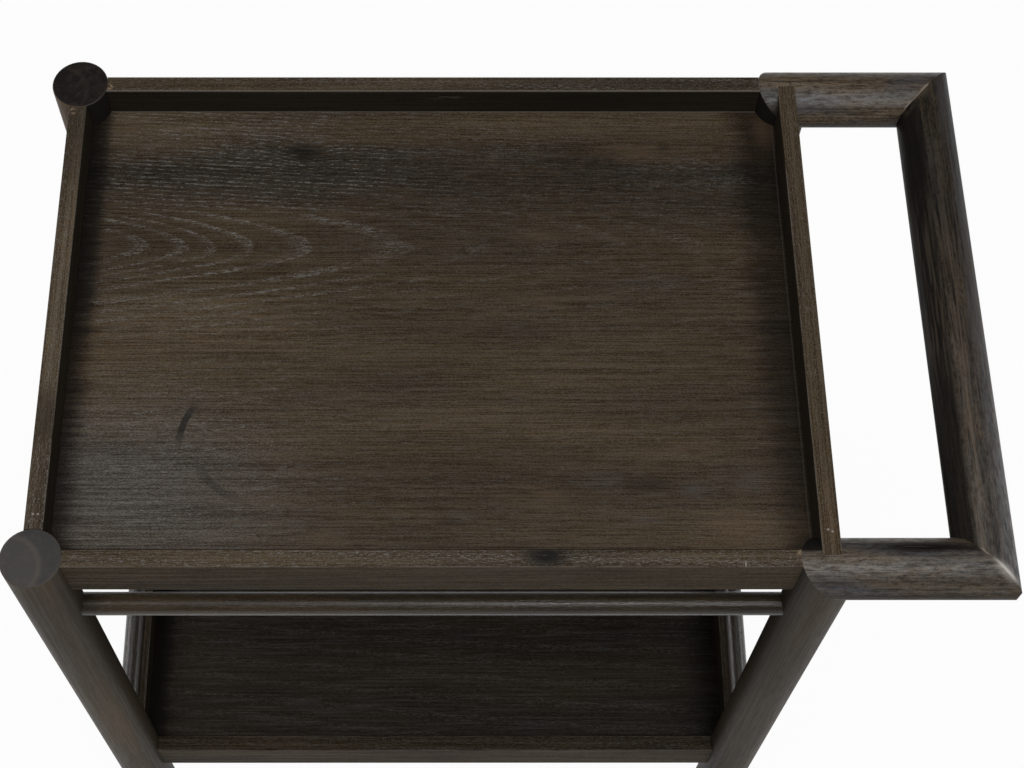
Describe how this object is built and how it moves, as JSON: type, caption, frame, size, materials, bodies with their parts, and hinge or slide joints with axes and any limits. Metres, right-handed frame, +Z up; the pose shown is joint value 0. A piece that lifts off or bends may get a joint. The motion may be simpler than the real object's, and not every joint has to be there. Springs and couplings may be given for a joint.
{
  "type": "bar cart",
  "caption": "Rolling oak bar cart: an upper and a lower railed tray between round legs, a mitred round push handle at one end, round stretchers, swivel casters.",
  "frame": {"origin": "on the floor, under the middle of the cart's outer box", "axes": "+X along the cart towards the handle, +Y from front to back, +Z up"},
  "size_m": [0.898, 0.557, 0.84],
  "materials": {
    "stained_oak": "satin",
    "stained_oak_panel": "satin",
    "bare_beech": "bare",
    "zinc_steel": "zinc plated",
    "black_steel": "satin black",
    "black_nylon": "moulded",
    "grey_rubber": "matt"
  },
  "bodies": {
    "frame": {"leg_front_left": "stained_oak", "leg_front_right": "stained_oak", "leg_back_left": "stained_oak", "leg_back_right": "stained_oak", "handle_arm_front": "stained_oak", "handle_arm_back": "stained_oak", "handle_grip": "stained_oak", "top_rail_front": "stained_oak", "top_rail_right": "stained_oak", "top_rail_back": "stained_oak", "top_rail_left": "stained_oak", "shelf_rail_front": "stained_oak", "shelf_rail_right": "stained_oak", "shelf_rail_back": "stained_oak", "shelf_rail_left": "stained_oak", "front_stretcher": "stained_oak", "back_stretcher": "stained_oak", "left_guard_rail": "stained_oak", "right_guard_rail": "stained_oak", "top_panel": "stained_oak_panel", "shelf_panel": "stained_oak_panel", "mitre_tenons": "bare_beech", "caster_socket_front_left": "zinc_steel", "caster_socket_front_right": "zinc_steel", "caster_socket_back_left": "zinc_steel", "caster_socket_back_right": "zinc_steel"},
    "caster_front_left": {"caster_stem_front_left": "zinc_steel", "caster_fork_front_left": "black_steel", "caster_axle_front_left": "zinc_steel"},
    "wheel_front_left": {"wheel_hub_front_left": "black_nylon", "wheel_tyre_front_left": "grey_rubber"},
    "caster_front_right": {"caster_stem_front_right": "zinc_steel", "caster_fork_front_right": "black_steel", "caster_axle_front_right": "zinc_steel"},
    "wheel_front_right": {"wheel_hub_front_right": "black_nylon", "wheel_tyre_front_right": "grey_rubber"},
    "caster_back_left": {"caster_stem_back_left": "zinc_steel", "caster_fork_back_left": "black_steel", "caster_axle_back_left": "zinc_steel"},
    "wheel_back_left": {"wheel_hub_back_left": "black_nylon", "wheel_tyre_back_left": "grey_rubber"},
    "caster_back_right": {"caster_stem_back_right": "zinc_steel", "caster_fork_back_right": "black_steel", "caster_axle_back_right": "zinc_steel"},
    "wheel_back_right": {"wheel_hub_back_right": "black_nylon", "wheel_tyre_back_right": "grey_rubber"}
  },
  "joints": [
    {"name": "swivel_front_left", "type": "hinge", "parent": "frame", "child": "caster_front_left", "pos_m": [-0.4215, -0.251, 0.0634], "axis": [0, 0, 1], "continuous": true},
    {"name": "spin_front_left", "type": "hinge", "parent": "caster_front_left", "child": "wheel_front_left", "pos_m": [-0.4045, -0.251, 0.025], "axis": [0, 1, 0], "continuous": true},
    {"name": "swivel_front_right", "type": "hinge", "parent": "frame", "child": "caster_front_right", "pos_m": [0.2805, -0.251, 0.0634], "axis": [0, 0, 1], "continuous": true},
    {"name": "spin_front_right", "type": "hinge", "parent": "caster_front_right", "child": "wheel_front_right", "pos_m": [0.2975, -0.251, 0.025], "axis": [0, 1, 0], "continuous": true},
    {"name": "swivel_back_left", "type": "hinge", "parent": "frame", "child": "caster_back_left", "pos_m": [-0.4215, 0.251, 0.0634], "axis": [0, 0, 1], "continuous": true},
    {"name": "spin_back_left", "type": "hinge", "parent": "caster_back_left", "child": "wheel_back_left", "pos_m": [-0.4045, 0.251, 0.025], "axis": [0, 1, 0], "continuous": true},
    {"name": "swivel_back_right", "type": "hinge", "parent": "frame", "child": "caster_back_right", "pos_m": [0.2805, 0.251, 0.0634], "axis": [0, 0, 1], "continuous": true},
    {"name": "spin_back_right", "type": "hinge", "parent": "caster_back_right", "child": "wheel_back_right", "pos_m": [0.2975, 0.251, 0.025], "axis": [0, 1, 0], "continuous": true}
  ]
}
